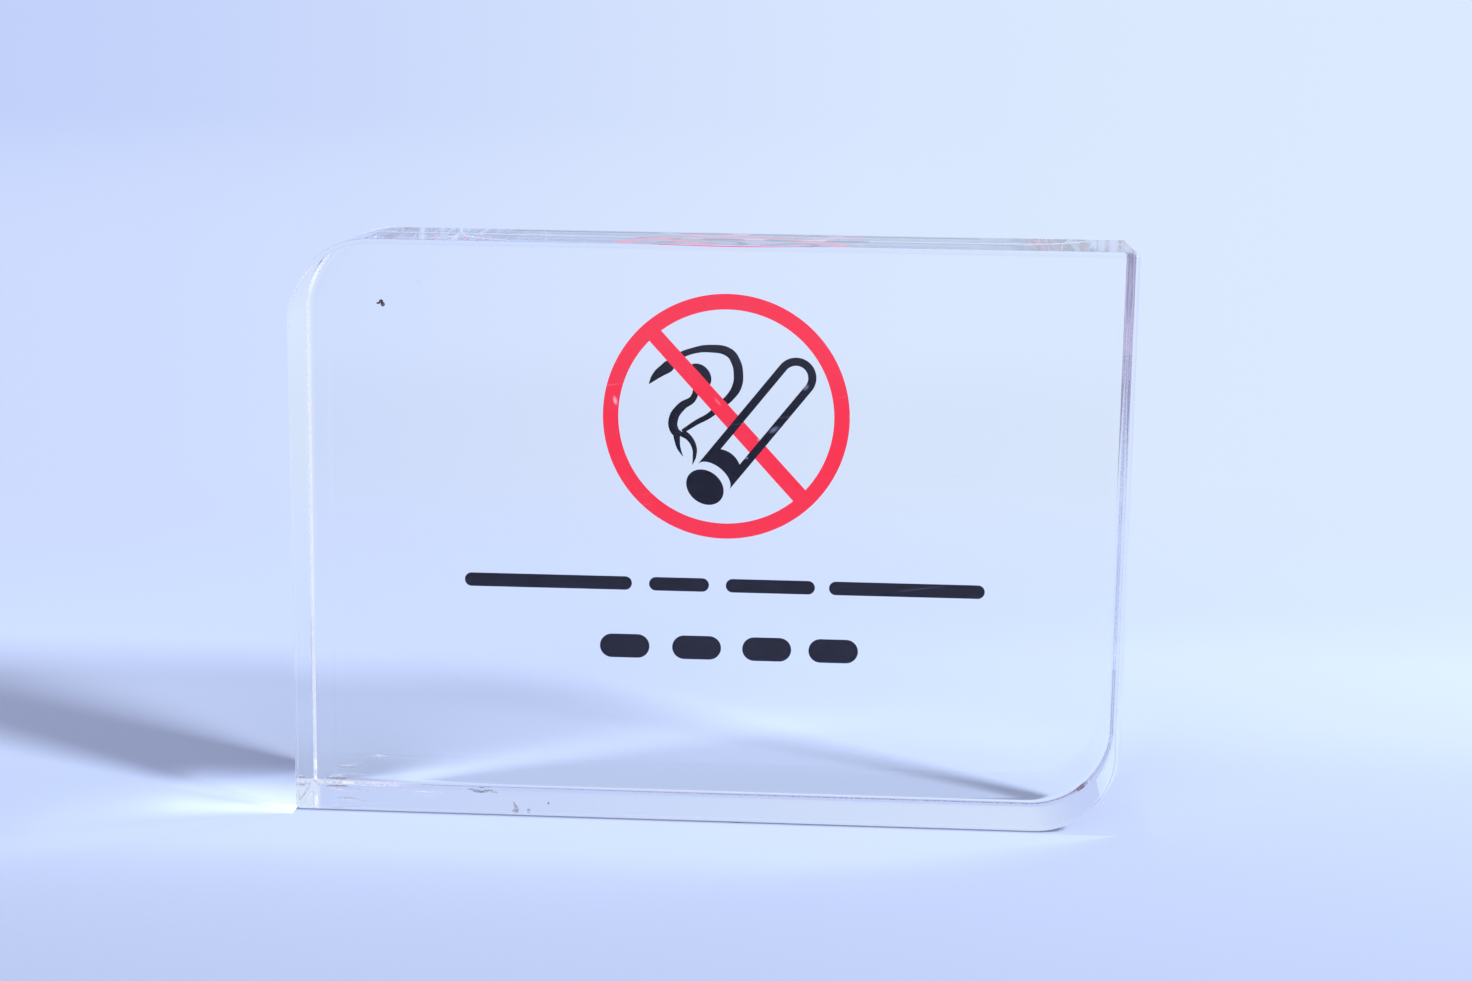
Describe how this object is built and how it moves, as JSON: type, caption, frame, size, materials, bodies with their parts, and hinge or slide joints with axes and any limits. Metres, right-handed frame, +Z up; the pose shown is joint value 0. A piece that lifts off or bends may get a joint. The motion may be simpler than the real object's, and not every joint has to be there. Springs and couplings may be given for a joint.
{
  "type": "guest room sign",
  "caption": "Freestanding guest room sign: a thick clear acrylic block, two opposite corners rounded, with a printed no-smoking symbol on its back face.",
  "frame": {"origin": "on the table, under the middle of the block", "axes": "+X to the reader's right along the block's length, +Y from the front face to the printed back face, +Z up"},
  "size_m": [0.1, 0.018, 0.07],
  "materials": {
    "clear_acrylic": "clear cast acrylic, polished on every face",
    "red_ink": "screen-printed ink, glossy through the acrylic",
    "dark_ink": "screen-printed blue-black ink, glossy through the acrylic",
    "dirt": "dried specks and smears, matt"
  },
  "bodies": {
    "root": {"acrylic_block": "clear_acrylic"}
  },
  "joints": []
}
